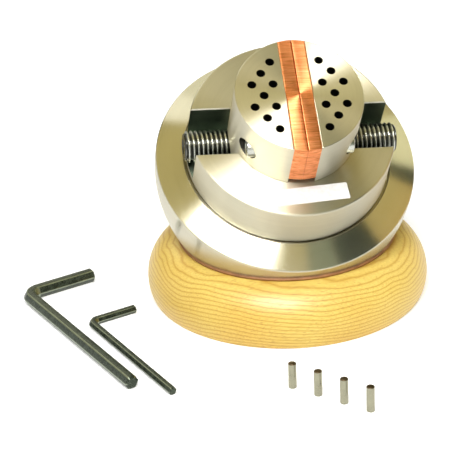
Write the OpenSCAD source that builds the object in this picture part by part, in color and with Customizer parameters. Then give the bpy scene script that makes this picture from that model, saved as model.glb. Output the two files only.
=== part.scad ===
// Ball vise: a steel ball that tilts and turns in a turned wooden ring, with a
// turntable head and two self-centring half-round jaws lined with copper pads.
// All sizes are in millimetres, +Z is up and the origin is the centre of the
// ring's underside. Heights in the ball, head and jaws are measured from the
// ball's centre along the head's own axis.

/* [Ball] */
// Diameter of the steel ball
ball_d = 100; // [90:1:112]
// Gap between the bottom of the ball and the bench
bench_gap = 1.4; // [1:0.1:3]
// Height of the rim's sharp edge above the ball's centre
rim_h = 3; // [1:0.5:6]
// Slope of the conical rim, in degrees
rim_slope = 23; // [15:1:30]
// Chamfer on the inner lip of the rim
lip_edge = 0.5; // [0.2:0.1:0.7]
// Depth that the turntable is sunk below the lip
recess_depth = 1.35; // [0.8:0.05:1.8]

/* [Wooden ring] */
// Outside diameter of the wooden ring
ring_d = 109.5; // [104:0.5:120]
// Radius of the ring's rounded outside
ring_round = 16.1; // [15:0.1:18]
// Height of the widest place above the bench
ring_belly_h = 6.9; // [5:0.1:9]
// Diameter of the hole through the ring
ring_bore_d = 60; // [50:1:66]
// Thickness of the leather liner between ring and ball
liner_t = 0.8; // [0.6:0.1:1.6]
// Upper edge of the liner, in degrees below the ball's equator
liner_top = 33.5; // [32:0.5:36]
// Lower edge of the liner, in degrees below the ball's equator
liner_low = 46; // [42:1:49]
// Depth of the rebate's shoulder under the liner
liner_step = 0.5; // [0.3:0.1:0.6]

/* [Turntable] */
// Diameter of the turntable
table_d = 77.7; // [70:0.1:84]
// Thickness of the turntable
table_t = 18.2; // [17:0.1:24]
// Radial gap between the turntable and the lip
recess_gap = 0.75; // [0.4:0.05:1]
// Gap under the turntable
table_lift = 0.6; // [0.3:0.1:0.9]
// Rounding of the turntable's top edge
table_round = 0.8; // [0.4:0.1:1.5]
// Width of the slot across the turntable
slot_w = 20.2; // [18:0.1:24]
// Metal left under the slot at the turntable's edge
slot_floor_t = 2.3; // [1.5:0.1:3]
// Chamfer along the slot's top edges
slot_edge = 0.4; // [0.2:0.1:0.8]
// Length of the boss under the turntable
boss_len = 10; // [9.4:0.1:10.4]

/* [Lead screw] */
// Outside diameter of the lead screw
screw_d = 12; // [10:0.5:12.5]
// Length of the lead screw
screw_len = 81; // [78:0.5:88]
// Diameter of the plain neck in the middle
neck_d = 8; // [6:0.5:9]
// Width across flats of the key sockets in the screw's ends
socket_af = 5.1; // [4.1:0.1:5.6]
// Depth of the key sockets
socket_depth = 7; // [4:0.5:9]
// Gap between the lead screw and the slot's floor
screw_gap = 0.3; // [0.2:0.1:0.6]

/* [Jaws] */
// Diameter of the round that the jaws are cut from
jaw_d = 50; // [46:0.5:53]
// Width that the cut between the two jaws takes out of that round
jaw_cut = 2; // [1:0.1:3]
// Height of the jaws above the turntable
jaw_h = 21.6; // [20:0.1:26]
// Chamfer on the jaws' top edges
jaw_edge = 0.4; // [0.2:0.1:0.8]
// Thickness of each copper pad
pad_t = 5; // [4:0.1:6]
// Gap between the closed pads
pad_gap = 0.1; // [0.1:0.1:0.6]
// Height of the pads' lower edge above the turntable
pad_lift = 2.5; // [1:0.1:3]
// Diameter of the pin holes in the jaws' tops
pin_hole_d = 3.2; // [3.1:0.1:3.6]
// Depth of the pin holes
pin_hole_depth = 8; // [6:0.5:8.5]
// Distance between pin holes along the jaw's face
pin_pitch = 10; // [9.4:0.1:10.2]
// Distance between the rows of pin holes
pin_row_pitch = 3.95; // [3.6:0.05:4.2]
// Distance from the pad to the first row of pin holes
pin_row_start = 4.15; // [3.6:0.05:4.4]

/* [Screws in the jaws and the saddle] */
// Thread diameter of the pad screws
pad_screw_d = 4; // [3:0.5:4.5]
// Distance of each pad screw from the slot's centre line
pad_screw_y = 13.5; // [12.6:0.1:14.4]
// Distance from the pad to the seat of each pad screw's head
pad_screw_seat = 11; // [8:0.5:11.5]
// Height of the pad screws above the turntable
pad_screw_lift = 8; // [6:0.1:8.2]
// Thread diameter of the saddle screws
saddle_screw_d = 3; // [2.5:0.5:3]
// Distance of each saddle screw from the slot's centre line
saddle_screw_y = 6.6; // [6.3:0.1:6.7]

/* [Thrust bearing and spindle] */
// Outside diameter of the thrust bearing
bearing_d = 47; // [44:1:52]
// Bore of the thrust bearing
bearing_bore = 30; // [28:1:32]
// Height of the thrust bearing
bearing_h = 11; // [10.8:0.1:12]
// Diameter of the bearing's balls
bearing_ball_d = 6; // [5.4:0.1:6.2]
// Number of balls in the bearing
bearing_ball_n = 16; // [8:1:17]
// Diameter of the spindle
spindle_d = 14; // [12:1:15]
// Thread diameter at both ends of the spindle
stud_d = 10; // [8:1:10]
// Wall of the bronze bush round the spindle
bush_wall = 2; // [1.5:0.1:3]
// Depth of the nut's pocket above the bottom of the ball
nut_pocket_depth = 17; // [15:0.5:18]
// Diameter of the nut's pocket
nut_pocket_d = 25; // [23:0.5:28]
// Width across flats of the spindle's nut
nut_af = 16; // [14:0.5:17]
// Height of the spindle's nut
nut_h = 8; // [6:0.5:8.5]

/* [Loose tools] */
// Width across flats of the large key
key_large_af = 5; // [4:0.1:5]
// Long leg of the large key
key_large_long = 87; // [75:1:95]
// Short leg of the large key
key_large_short = 32; // [25:1:36]
// Width across flats of the small key
key_small_af = 3; // [2.5:0.1:3]
// Long leg of the small key
key_small_long = 65; // [55:0.5:70]
// Short leg of the small key
key_small_short = 21; // [18:0.5:24]
// Diameter of the jaw pins
pin_d = 3; // [2.5:0.1:3]
// Length of the jaw pins
pin_len = 10; // [9:0.5:14]

/* [Pose] */
// Tilt of the ball from upright, in degrees
ball_tilt = 32.8; // [0:0.1:35]
// Direction of the tilt, in degrees from the front
lean_turn = 12.1; // [-180:0.1:180]
// Turn of the turntable on the ball, in degrees
table_turn = -5.4; // [-180:0.1:180]

/* [Hidden] */
$fn = 96;

// Clearances: a turning fit, a sliding fit and a cut that passes a face
turn_gap = 0.05;
slide_gap = 0.1;
past = 1;

// Ball and rim
ball_r = ball_d / 2;
ball_z = ball_r + bench_gap;
rim_r = sqrt(ball_r * ball_r - rim_h * rim_h);
table_r = table_d / 2;
recess_r = table_r + recess_gap;
lip_h = rim_h + (rim_r - recess_r) * tan(rim_slope);
recess_h = lip_h - recess_depth;

// Turntable, slot and lead screw
table_h0 = recess_h + table_lift;
table_h1 = table_h0 + table_t;
slot_h = table_h0 + slot_floor_t;
screw_r = screw_d / 2;
screw_h = slot_h + screw_gap + screw_r;
table_low_edge = 0.4;

// Jaws and pads
jaw_r = jaw_d / 2;
jaw_shift = -jaw_cut / 2;
jaw_h0 = table_h1 + slide_gap;
jaw_h1 = jaw_h0 + jaw_h;
jaw_face_x = pad_gap / 2 + pad_t;
tongue_w = slot_w - 2 * slide_gap;
tongue_h0 = slot_h + slide_gap;
pad_h0 = table_h1 + pad_lift;
pin_rows = [4, 3, 2];

// Saddle that holds the lead screw's neck
saddle_x = jaw_face_x - 4 * slide_gap;
saddle_h1 = table_h1 - 4 * slide_gap;
neck_x = saddle_x + slide_gap;
saddle_head_r = saddle_screw_d * 0.92;
saddle_head_h = saddle_screw_d;
saddle_thread = 4.5;

// Pad screws: a cap screw's head is 1.75 diameters across and one high
pad_screw_h = table_h1 + pad_screw_lift;
pad_head_r = pad_screw_d * 0.875;
pad_sink_r = pad_head_r + 4 * slide_gap;
pad_wall = 1.2;
pad_bite = pad_t - pad_wall;
pad_sink_x = jaw_face_x + pad_screw_seat;

// Thrust bearing
bearing_r = bearing_d / 2;
bearing_floor = table_h0 - bearing_h;
bearing_mid = table_h0 - bearing_h / 2;
race_share = 0.3;
race_t = bearing_h * race_share;
race_relief = 0.35;
track_r = (bearing_r + bearing_bore / 2) / 2 + turn_gap;
bearing_ball_r = bearing_ball_d / 2;
groove_r = bearing_ball_r + 2 * turn_gap;
boss_r = bearing_bore / 2 - turn_gap;
boss_h = table_h0 - boss_len;

// Spindle, bush and nut
spindle_r = spindle_d / 2;
stud_r = stud_d / 2;
stud_in = 6.4;
bush_r = spindle_r + turn_gap + bush_wall;
nut_pocket_r = nut_pocket_d / 2;
pocket_h = nut_pocket_depth - ball_r;
flange_t = 2;
washer_t = 2;
washer_h1 = pocket_h - flange_t - slide_gap;
nut_h1 = washer_h1 - washer_t;

// Ring and liner
ring_r = ring_d / 2;
liner_in = ball_r + turn_gap;
liner_out = liner_in + liner_t;
ring_seat = liner_out + turn_gap;

// Where the loose tools lie: the corner of each key and its turn, and the row of pins
key_large_at = [-102.6, -5.9];
key_large_turn = -59.2;
key_small_at = [-76.6, -29.0];
key_small_turn = -59.8;
pins_at = [-1.6, -81.4];
pins_step = [8.9, -6.2];
pins_n = 4;

// Places a child that is drawn about the ball's centre
module on_ball() {
    translate([0, 0, ball_z]) rotate([0, 0, lean_turn]) rotate([ball_tilt, 0, 0]) children();
}

// Places a child that turns with the turntable, its slot along X
module on_table() {
    on_ball() rotate([0, 0, table_turn]) children();
}

// Half turn that makes the left jaw from the right one
module opposite() {
    rotate([0, 0, 180]) children();
}

// Prism along X whose section is given in Y and height
module along_x(x0, x1) {
    translate([x0, 0, 0]) rotate([90, 0, 90]) linear_extrude(x1 - x0) children();
}

// Round bar along X
module bar_x(r, x0, x1, y, h) {
    translate([x0, y, h]) rotate([0, 90, 0]) cylinder(r = r, h = x1 - x0);
}

// Ring with a rectangular section
module washer_ring(r_in, r_out, h0, h1) {
    rotate_extrude() translate([r_in, h0]) square([r_out - r_in, h1 - h0]);
}

// Turned disc with a rounded top edge and a chamfered lower edge
module turned_disc(r, h0, h1, round_r, edge) {
    rotate_extrude() {
        polygon([[0, h0], [r - edge, h0], [r, h0 + edge], [r, h1 - round_r],
                 [r - round_r, h1 - round_r], [r - round_r, h1], [0, h1]]);
        intersection() {
            translate([r - round_r, h1 - round_r]) circle(r = round_r);
            translate([r - round_r, h1 - round_r]) square(round_r);
        }
    }
}

// Section of the liner between two angles below the equator
module liner_section(r_in, r_out) {
    reach = 2 * ball_r;
    intersection() {
        difference() {
            circle(r = r_out);
            circle(r = r_in);
        }
        polygon([[0, 0], [reach * cos(liner_top), -reach * sin(liner_top)],
                 [reach * cos(liner_low), -reach * sin(liner_low)]]);
    }
}

// Turned ring: one round outside, a rebate for the liner and a plain bore
module wood_ring() {
    color("burlywood") rotate_extrude() difference() {
        intersection() {
            union() {
                translate([ring_r - ring_round, ring_belly_h]) circle(r = ring_round);
                square([ring_r - ring_round, ring_belly_h + ring_round]);
            }
            square([ring_r + past, ring_belly_h + ring_round]);
        }
        square([ring_bore_d / 2, 2 * ball_r]);
        translate([0, ball_z]) circle(r = ring_seat - liner_step);
        translate([0, ball_z]) difference() {
            circle(r = ring_seat);
            rotate([0, 0, -liner_low - 0.3]) translate([0, -2 * ball_r]) square(2 * ball_r);
        }
    }
}

// Leather band that the ball turns in
module leather_liner() {
    color("saddlebrown") translate([0, 0, ball_z])
        rotate_extrude() liner_section(liner_in, liner_out);
}

// Solid ball cut to a conical rim, bored for the bearing, the spindle and its nut
module ball_body() {
    pocket_r = bearing_r + turn_gap;
    color("lightgray") on_ball() rotate_extrude() intersection() {
        circle(r = ball_r);
        polygon([[bush_r, pocket_h], [bush_r, bearing_floor], [pocket_r, bearing_floor],
                 [pocket_r, recess_h], [recess_r, recess_h], [recess_r, lip_h - lip_edge],
                 [recess_r + lip_edge, lip_h - lip_edge * tan(rim_slope)], [rim_r, rim_h],
                 [ball_r + past, rim_h], [ball_r + past, -ball_r - past],
                 [nut_pocket_r, -ball_r - past], [nut_pocket_r, pocket_h]]);
    }
}

// Flanged bronze bush in the ball's centre
module spindle_bush() {
    color("peru") on_ball() {
        washer_ring(spindle_r + turn_gap, bush_r, pocket_h, bearing_floor);
        washer_ring(spindle_r + turn_gap, bush_r + 2, pocket_h - flange_t, pocket_h);
    }
}

// Bearing race between two heights, grooved for the balls
module race(r_in, r_out, h0, h1) {
    difference() {
        washer_ring(r_in, r_out, h0, h1);
        rotate_extrude() translate([track_r, bearing_mid]) circle(r = groove_r);
    }
}

// Race that sits in the ball
module race_lower() {
    color("silver") on_ball()
        race(bearing_bore / 2 + 1, bearing_r, bearing_floor, bearing_floor + race_t);
}

// Race that turns with the turntable
module race_upper() {
    color("silver") on_table()
        race(bearing_bore / 2, bearing_r - race_relief, table_h0 - race_t, table_h0);
}

// Places one child at each ball of the bearing
module each_ball() {
    for (i = [0 : bearing_ball_n - 1])
        rotate([0, 0, i * 360 / bearing_ball_n]) translate([track_r, 0, bearing_mid]) children();
}

// Flat brass cage with a hole for each ball
module bearing_cage() {
    cage_t = bearing_ball_d / 3;
    color("goldenrod") on_ball() difference() {
        washer_ring(track_r - bearing_ball_r, track_r + bearing_ball_r,
                    bearing_mid - cage_t / 2, bearing_mid + cage_t / 2);
        each_ball() translate([0, 0, -cage_t]) cylinder(r = groove_r, h = 2 * cage_t);
    }
}

// The bearing's balls
module bearing_balls() {
    color("gainsboro") on_ball() each_ball() sphere(r = bearing_ball_r, $fn = 24);
}

// Places one child at each saddle screw
module each_saddle_screw() {
    for (side = [-1, 1]) translate([0, side * saddle_screw_y, 0]) children();
}

// Turned head with the slot for the jaws and a boss for the spindle
module turntable() {
    half = slot_w / 2;
    top = table_h1 + past;
    color("lightgray") on_table() difference() {
        union() {
            turned_disc(table_r, table_h0, table_h1, table_round, table_low_edge);
            translate([0, 0, boss_h]) cylinder(r = boss_r, h = boss_len + slot_floor_t / 2);
        }
        along_x(-table_r - past, table_r + past)
            polygon([[-half, slot_h], [half, slot_h], [half, table_h1 - slot_edge],
                     [half + slot_edge + past, top], [-half - slot_edge - past, top],
                     [-half, table_h1 - slot_edge]]);
        translate([0, 0, boss_h - past]) cylinder(r = stud_r, h = stud_in + past);
        each_saddle_screw() translate([0, 0, slot_h - saddle_thread])
            cylinder(r = saddle_screw_d / 2, h = saddle_thread + past);
    }
}

// Spindle: a stud screwed into the boss, a plain journal and a threaded lower end
module spindle() {
    end_h = nut_h1 - nut_h;
    color("silver") on_table() {
        translate([0, 0, washer_h1]) cylinder(r = spindle_r, h = boss_h - washer_h1);
        translate([0, 0, end_h]) cylinder(r = stud_r, h = boss_h + stud_in - end_h);
    }
}

// Washer between the bush and the nut
module spindle_washer() {
    color("silver") on_table()
        washer_ring(stud_r + turn_gap, bush_r + 1.5, nut_h1, washer_h1);
}

// Hexagon nut that sets the bearing's play
module spindle_nut() {
    color("dimgray") on_table() translate([0, 0, nut_h1 - nut_h]) difference() {
        cylinder(d = nut_af / cos(30), h = nut_h, $fn = 6);
        translate([0, 0, -past]) cylinder(r = stud_r, h = nut_h + 2 * past);
    }
}

// Block across the slot between two heights, bored for the lead screw's neck
module saddle_block(h0, h1) {
    difference() {
        translate([-saddle_x, -tongue_w / 2, h0]) cube([2 * saddle_x, tongue_w, h1 - h0]);
        bar_x(neck_d / 2 + turn_gap, -saddle_x - past, saddle_x + past, 0, screw_h);
        each_saddle_screw() translate([0, 0, h0 - past])
            cylinder(r = saddle_screw_d / 2 + slide_gap, h = h1 - h0 + 2 * past);
    }
}

// Lower half of the split saddle, on the slot's floor
module saddle_base() {
    color("darkgray") on_table() saddle_block(slot_h, screw_h);
}

// Upper half of the split saddle, with sunk screw heads
module saddle_cap() {
    color("darkgray") on_table() difference() {
        saddle_block(screw_h, saddle_h1);
        each_saddle_screw() translate([0, 0, saddle_h1 - saddle_head_h - slide_gap])
            cylinder(r = saddle_head_r + slide_gap, h = saddle_head_h + past);
    }
}

// Hexagon socket cut downwards from height 0
module hex_socket(af, depth) {
    translate([0, 0, -depth]) cylinder(d = af / cos(30), h = depth + past, $fn = 6);
}

// Socket cap screw along Z, its head's underside at height 0
module cap_screw(d, head_r, head_h, len) {
    difference() {
        union() {
            translate([0, 0, -len]) cylinder(d = d, h = len);
            cylinder(r = head_r, h = head_h);
        }
        translate([0, 0, head_h]) hex_socket(d * 0.75, head_h * 0.6);
    }
}

// Two screws that hold the saddle down in the slot
module saddle_screws() {
    seat = saddle_h1 - saddle_head_h - slide_gap;
    color("dimgray") on_table() each_saddle_screw() translate([0, 0, seat])
        cap_screw(saddle_screw_d, saddle_head_r, saddle_head_h, seat - slot_h + saddle_thread);
}

// Lead screw: two threaded ends of opposite hand, a plain neck and two key sockets
module lead_screw() {
    end_edge = 1;
    color("silver") on_table() translate([0, 0, screw_h]) rotate([0, 90, 0]) difference() {
        rotate_extrude() polygon([
            [0, -screw_len / 2], [screw_r - end_edge, -screw_len / 2],
            [screw_r, end_edge - screw_len / 2], [screw_r, -neck_x], [neck_d / 2, -neck_x],
            [neck_d / 2, neck_x], [screw_r, neck_x], [screw_r, screw_len / 2 - end_edge],
            [screw_r - end_edge, screw_len / 2], [0, screw_len / 2]]);
        translate([0, 0, screw_len / 2]) hex_socket(socket_af, socket_depth);
        translate([0, 0, -screw_len / 2]) rotate([180, 0, 0]) hex_socket(socket_af, socket_depth);
    }
}

// Places one child at each pin hole of the right jaw
module each_pin_hole() {
    for (row = [0 : len(pin_rows) - 1], i = [0 : pin_rows[row] - 1])
        translate([jaw_face_x + pin_row_start + row * pin_row_pitch,
                   (i - (pin_rows[row] - 1) / 2) * pin_pitch, jaw_h1]) children();
}

// Places one child at each pad screw of the right jaw
module each_pad_screw() {
    for (side = [-1, 1]) translate([0, side * pad_screw_y, pad_screw_h]) children();
}

// One jaw: a half round on the turntable with a tongue down in the slot
module jaw() {
    difference() {
        intersection() {
            translate([jaw_shift, 0, 0]) rotate_extrude() polygon([[0, tongue_h0],
                [jaw_r, tongue_h0], [jaw_r, jaw_h1 - jaw_edge],
                [jaw_r - jaw_edge, jaw_h1], [0, jaw_h1]]);
            union() {
                translate([jaw_face_x, -tongue_w / 2, tongue_h0])
                    cube([jaw_r, tongue_w, jaw_h1 - tongue_h0]);
                translate([jaw_face_x, -jaw_r, jaw_h0]) cube([jaw_r, jaw_d, jaw_h]);
            }
        }
        bar_x(screw_r + turn_gap, 0, jaw_d, 0, screw_h);
        each_pin_hole() translate([0, 0, -pin_hole_depth])
            cylinder(d = pin_hole_d, h = pin_hole_depth + past, $fn = 32);
        each_pad_screw() {
            bar_x(pad_screw_d / 2 + slide_gap, 0, jaw_d, 0, 0);
            bar_x(pad_sink_r, pad_sink_x, jaw_d, 0, 0);
        }
    }
}

// Copper pad on the flat of a jaw, tapped for its two screws
module copper_pad() {
    difference() {
        intersection() {
            translate([jaw_shift, 0, pad_h0]) cylinder(r = jaw_r, h = jaw_h1 - pad_h0);
            translate([pad_gap / 2, -jaw_r, pad_h0]) cube([pad_t, jaw_d, jaw_h1 - pad_h0]);
        }
        each_pad_screw() bar_x(pad_screw_d / 2, jaw_face_x - pad_bite, jaw_d, 0, 0);
    }
}

// The two cap screws that hold a pad, sunk in the jaw's round side
module pad_screws() {
    each_pad_screw() translate([pad_sink_x, 0, 0]) rotate([0, 90, 0])
        cap_screw(pad_screw_d, pad_head_r, pad_screw_d, pad_sink_x - jaw_face_x + pad_bite);
}

// Left jaw
module jaw_left() {
    color("lightgray") on_table() opposite() jaw();
}

// Right jaw
module jaw_right() {
    color("lightgray") on_table() jaw();
}

// Pad of the left jaw
module copper_pad_left() {
    color("sandybrown") on_table() opposite() copper_pad();
}

// Pad of the right jaw
module copper_pad_right() {
    color("sandybrown") on_table() copper_pad();
}

// Screws of the left pad
module pad_screws_left() {
    color("dimgray") on_table() opposite() pad_screws();
}

// Screws of the right pad
module pad_screws_right() {
    color("dimgray") on_table() pad_screws();
}

// L-shaped hexagon key lying on a flat, its corner at the origin, its long leg along X
module hex_key(af, long_leg, short_leg) {
    bend_r = af;
    translate([0, 0, af / 2]) {
        along_x(bend_r, long_leg - af / 2) circle(d = af / cos(30), $fn = 6);
        rotate([0, 0, 90]) along_x(bend_r, short_leg - af / 2)
            circle(d = af / cos(30), $fn = 6);
        translate([bend_r, bend_r, 0]) rotate([0, 0, 180]) rotate_extrude(angle = 90)
            translate([bend_r, 0]) circle(d = af / cos(30), $fn = 6);
    }
}

// Key for the lead screw
module key_large() {
    color("darkslategray") translate(key_large_at) rotate([0, 0, key_large_turn])
        hex_key(key_large_af, key_large_long, key_large_short);
}

// Key for the pad screws
module key_small() {
    color("darkslategray") translate(key_small_at) rotate([0, 0, key_small_turn])
        hex_key(key_small_af, key_small_long, key_small_short);
}

// Four steel pins that plug into the jaws' holes, standing on the bench
module jaw_pins() {
    edge = pin_d / 12;
    color("silver") for (i = [0 : pins_n - 1]) translate(pins_at + i * pins_step)
        rotate_extrude($fn = 32) polygon([[0, 0], [pin_d / 2 - edge, 0], [pin_d / 2, edge],
            [pin_d / 2, pin_len - edge], [pin_d / 2 - edge, pin_len], [0, pin_len]]);
}

wood_ring();
leather_liner();
ball_body();
spindle_bush();
race_lower();
bearing_cage();
bearing_balls();
race_upper();
turntable();
spindle();
spindle_washer();
spindle_nut();
saddle_base();
saddle_cap();
saddle_screws();
lead_screw();
jaw_left();
copper_pad_left();
pad_screws_left();
jaw_right();
copper_pad_right();
pad_screws_right();
key_large();
key_small();
jaw_pins();
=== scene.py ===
"""Looks of the ball vise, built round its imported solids. Lengths below are in millimetres
until a mesh is made; heights in the ball, the turntable and the jaws are measured from
the ball's centre along the turntable's own axis."""

import math

import bmesh
import bpy
import numpy as np
from mathutils import Matrix, Vector

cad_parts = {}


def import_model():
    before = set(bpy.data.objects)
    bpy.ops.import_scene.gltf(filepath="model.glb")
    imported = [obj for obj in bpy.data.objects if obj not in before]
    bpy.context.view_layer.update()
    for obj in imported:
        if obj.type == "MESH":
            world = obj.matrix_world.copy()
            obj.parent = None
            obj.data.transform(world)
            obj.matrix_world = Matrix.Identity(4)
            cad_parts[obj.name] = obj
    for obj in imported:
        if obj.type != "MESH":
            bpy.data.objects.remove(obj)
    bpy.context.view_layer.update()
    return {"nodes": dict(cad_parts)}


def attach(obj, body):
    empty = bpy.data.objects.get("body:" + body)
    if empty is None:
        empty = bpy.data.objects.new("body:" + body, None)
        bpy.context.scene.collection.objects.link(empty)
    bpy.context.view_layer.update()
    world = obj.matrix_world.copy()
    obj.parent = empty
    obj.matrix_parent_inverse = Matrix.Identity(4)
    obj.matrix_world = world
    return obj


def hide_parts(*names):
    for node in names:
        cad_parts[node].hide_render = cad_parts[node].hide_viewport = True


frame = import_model()

MM = 0.001

# ---------------------------------------------------------------- sizes of the real thing
BALL_R = 50.0
BALL_Z = 51.4
RIM_H = 3.0
RIM_R = math.sqrt(BALL_R**2 - RIM_H**2)
RIM_SLOPE = math.radians(23)
BEARING_H = 11.0
RACE_POCKET_R = 23.55
BUSH_R = 9.05
BUSH_FLANGE = 2.0
NUT_POCKET_R = 12.5
NUT_POCKET = 17.0
TABLE_R = 38.85
RECESS_R = TABLE_R + 0.75
LIP_H = RIM_H + (RIM_R - RECESS_R) * math.tan(RIM_SLOPE)
RECESS_H = LIP_H - 1.35
TABLE_H0 = RECESS_H + 0.6
TABLE_H1 = TABLE_H0 + 18.2
SLOT_H = TABLE_H0 + 2.3
SLOT_HALF = 10.1
BOSS_R = 14.95
BOSS_LEN = 10.0
SCREW_R = 6.0
SCREW_H = SLOT_H + 0.3 + SCREW_R
SCREW_HALF = 40.5
PITCH = 1.75
NECK_R = 4.0
NECK_X = 4.75
SOCKET_AF = 5.1
SOCKET_DEEP = 7.0
JAW_R = 25.0
JAW_SHIFT = -1.0
JAW_H0 = TABLE_H1 + 0.1
JAW_H1 = JAW_H0 + 21.6
PAD_GAP = 0.05
JAW_FACE = PAD_GAP + 5.0
TONGUE_HALF = SLOT_HALF - 0.1
TONGUE_H0 = SLOT_H + 0.1
PAD_H0 = TABLE_H1 + 2.5
PIN_HOLE_R = 1.6
PIN_HOLE_ROWS = (4, 3, 2)
PIN_HOLE_PITCH = 10.0
PIN_ROW_START = 4.15
PIN_ROW_PITCH = 3.95
PAD_SCREW_Y = 13.5
PAD_SCREW_H = TABLE_H1 + 8.0
PAD_SINK_X = JAW_FACE + 11.0
PAD_SHANK_HOLE_R = 2.1
PAD_HEAD_HOLE_R = 3.9
RING_R = 54.75
RING_ROUND = 16.1
RING_BELLY = 6.9
RING_BORE = 30.0
SEAT_R = 50.9
LINER_LOW = math.radians(46.3)
WASHER_T = 2.0
NUT_H = 8.0
NUT_AF = 16.0
STUD_R = 5.0
FIT_GAP = 0.1
LARGE_KEY_AF = 5.0
SMALL_KEY_AF = 3.0
PIN_R = 1.5
PIN_LEN = 10.0

# the ball's lean and the way it leans, and the turntable's turn in the ball, in degrees
LEAN_TURN = 12.1
LEAN = 32.8
TABLE_TURN = -5.4

BENCH = Matrix.Identity(4)
BALL = (
    Matrix.Translation((0, 0, BALL_Z))
    @ Matrix.Rotation(math.radians(LEAN_TURN), 4, "Z")
    @ Matrix.Rotation(math.radians(LEAN), 4, "X")
)
TABLE = BALL @ Matrix.Rotation(math.radians(TABLE_TURN), 4, "Z")
LEFT = TABLE @ Matrix.Rotation(math.pi, 4, "Z")


# ---------------------------------------------------------------- meshes
def piece(name, verts, faces, place=None, sharp=30):
    """A closed mesh from points in millimetres. Equal points are merged, faces turn
    outwards, and edges sharper than the given angle stay sharp."""
    mesh = bpy.data.meshes.new(name)
    mesh.from_pydata(np.asarray(verts, float).reshape(-1, 3).tolist(), [], faces)
    work = bmesh.new()
    work.from_mesh(mesh)
    bmesh.ops.remove_doubles(work, verts=work.verts, dist=1e-4)
    bmesh.ops.dissolve_degenerate(work, edges=work.edges, dist=1e-5)
    bmesh.ops.recalc_face_normals(work, faces=work.faces)
    work.to_mesh(mesh)
    work.free()
    if place:
        mesh.transform(place)
    thing = bpy.data.objects.new(name, mesh)
    bpy.context.scene.collection.objects.link(thing)
    smooth(thing, sharp)
    return thing


def smooth(thing, sharp):
    """Smooth faces, with the edges above an angle left sharp."""
    mesh = thing.data
    mesh.polygons.foreach_set("use_smooth", np.ones(len(mesh.polygons), bool))
    mesh.set_sharp_from_angle(angle=math.radians(sharp))
    mesh.update()


def grid_faces(rows, cols, around=True, closed=False):
    """Quads of a grid of points, rows by columns. The columns go round if `around`, and
    the last row joins the first if `closed`."""
    r = np.arange(rows if closed else rows - 1)[:, None]
    c = np.arange(cols if around else cols - 1)[None, :]
    r2, c2 = (r + 1) % rows, (c + 1) % cols
    quads = np.stack(
        [r * cols + c, r * cols + c2, r2 * cols + c2, r2 * cols + c], axis=-1
    )
    return quads.reshape(-1, 4).tolist()


def rounded(corners, steps=5):
    """A profile of corners (a, b, radius), each replaced by an arc of that radius that
    is tangent to both of its sides. A radius of 0 keeps the corner."""
    out = []
    n = len(corners)
    for i, (a, b, radius) in enumerate(corners):
        p = np.array([a, b], float)
        if not radius:
            out.append(p)
            continue
        u = np.array(corners[i - 1][:2], float) - p
        v = np.array(corners[(i + 1) % n][:2], float) - p
        u, v = u / np.linalg.norm(u), v / np.linalg.norm(v)
        half = math.acos(max(-1.0, min(1.0, float(u @ v)))) / 2
        middle = (u + v) / np.linalg.norm(u + v)
        centre = p + middle * radius / math.sin(half)
        start, end = p + u * radius / math.tan(half), p + v * radius / math.tan(half)
        a0 = math.atan2(*(start - centre)[::-1])
        a1 = math.atan2(*(end - centre)[::-1])
        turn = (a1 - a0 + math.pi) % (2 * math.pi) - math.pi
        t = a0 + turn * np.linspace(0, 1, steps + 1)
        out.extend(centre + radius * np.stack([np.cos(t), np.sin(t)], 1))
    return np.array(out)


def arc(centre, radius, start, end, steps):
    """Points of an arc about a centre, its angles in degrees."""
    t = np.radians(np.linspace(start, end, steps + 1))
    return np.stack([centre[0] + radius * np.cos(t), centre[1] + radius * np.sin(t)], 1)


def turned(name, profile, place=None, steps=192, closed=False, sharp=30):
    """A turned piece: each profile point (r, h) goes round the axis as
    (r cos t, r sin t, h)."""
    t = np.linspace(0, 2 * np.pi, steps, endpoint=False)
    r, h = profile[:, :1], profile[:, 1:]
    points = np.stack([r * np.cos(t), r * np.sin(t), h + 0 * t], axis=-1)
    return piece(name, points, grid_faces(len(profile), steps, True, closed), place, sharp)


def hexagon(t, across):
    """Radius of a hexagon of that width across flats at angle t: half the width over the
    cosine of the angle to the nearest flat."""
    return across / 2 / np.cos((t + np.pi / 6) % (np.pi / 3) - np.pi / 6)


def shaped(name, rows, place=None, steps=96, sharp=30, closed=False):
    """A turned piece whose radius may also change with the angle. Each row is (h, radius
    function of the angle), and a point is (r cos t, r sin t, h)."""
    t = np.linspace(0, 2 * np.pi, steps, endpoint=False)
    points = np.stack(
        [np.stack([f(t) * np.cos(t), f(t) * np.sin(t), h + 0 * t], -1) for h, f in rows]
    )
    return piece(name, points, grid_faces(len(rows), steps, True, closed), place, sharp)


def slab(name, outline, levels):
    """An upright slab. outline(d) gives its plan, moved inwards by d, always with the
    same number of points, and each level is (d, h). The ends are flat."""
    rings = [np.c_[outline(d), np.full(len(outline(d)), h)] for d, h in levels]
    n, k = len(rings[0]), len(rings)
    faces = grid_faces(k, n)
    faces += [list(range(n))[::-1], list(range((k - 1) * n, k * n))]
    return piece(name, np.concatenate(rings), faces)


def half_round(radius, shift, x0, x1=None, y1=None):
    """Plan of the part of a disc between x0 and x1, and within y1 of the centre line:
    the disc's radius and the straight sides all move inwards by d."""
    steps = 72

    def outline(d):
        r = radius - d
        low, high = x0 + d, (x1 - d if x1 else None)
        a0 = math.acos((low - shift) / r)
        a1 = math.acos((high - shift) / r) if high else 0.0
        if y1:
            a0 = min(a0, math.asin((y1 - d) / r))
        right = np.linspace(-a0, -a1, steps)
        left = np.linspace(a1, a0, steps)
        t = np.concatenate([right, left])
        points = np.stack([shift + r * np.cos(t), r * np.sin(t)], 1)
        if y1:
            points = np.concatenate([points, [[low, y1 - d], [low, d - y1]]])
        return points

    return outline


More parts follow.
